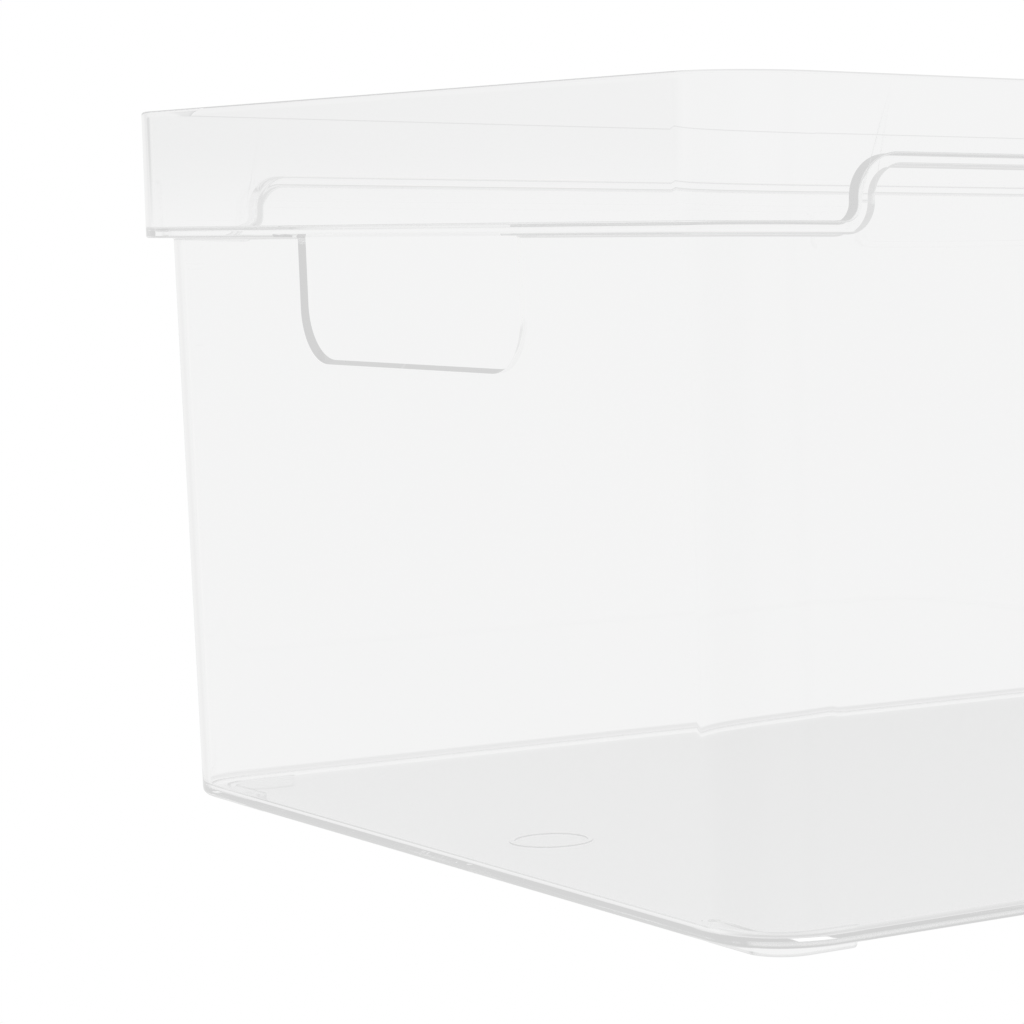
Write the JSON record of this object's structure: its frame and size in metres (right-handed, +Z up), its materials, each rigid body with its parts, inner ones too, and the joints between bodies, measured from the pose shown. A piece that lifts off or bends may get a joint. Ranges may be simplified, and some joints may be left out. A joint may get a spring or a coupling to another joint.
{
  "type": "stackable storage bin",
  "caption": "Open-topped clear plastic storage bin with a stepped stacking collar, raised ledges along the long walls, D-shaped hand-holes in the ends and low corner feet.",
  "frame": {"origin": "centre of the footprint, on the plane the feet stand on", "axes": "+Z up, +X along the long side, long front wall facing -Y, short walls with the hand-holes facing -X and +X"},
  "size_m": [0.46, 0.29, 0.18],
  "materials": {
    "clear_plastic": "polished, clear"
  },
  "bodies": {
    "root": {"floor_pan": "clear_plastic", "front_wall": "clear_plastic", "back_wall": "clear_plastic", "left_end_wall": "clear_plastic", "right_end_wall": "clear_plastic", "corner_front_left": "clear_plastic", "corner_front_right": "clear_plastic", "corner_back_left": "clear_plastic", "corner_back_right": "clear_plastic", "stacking_collar": "clear_plastic", "foot_front_left": "clear_plastic", "foot_front_right": "clear_plastic", "foot_back_left": "clear_plastic", "foot_back_right": "clear_plastic"}
  },
  "joints": []
}
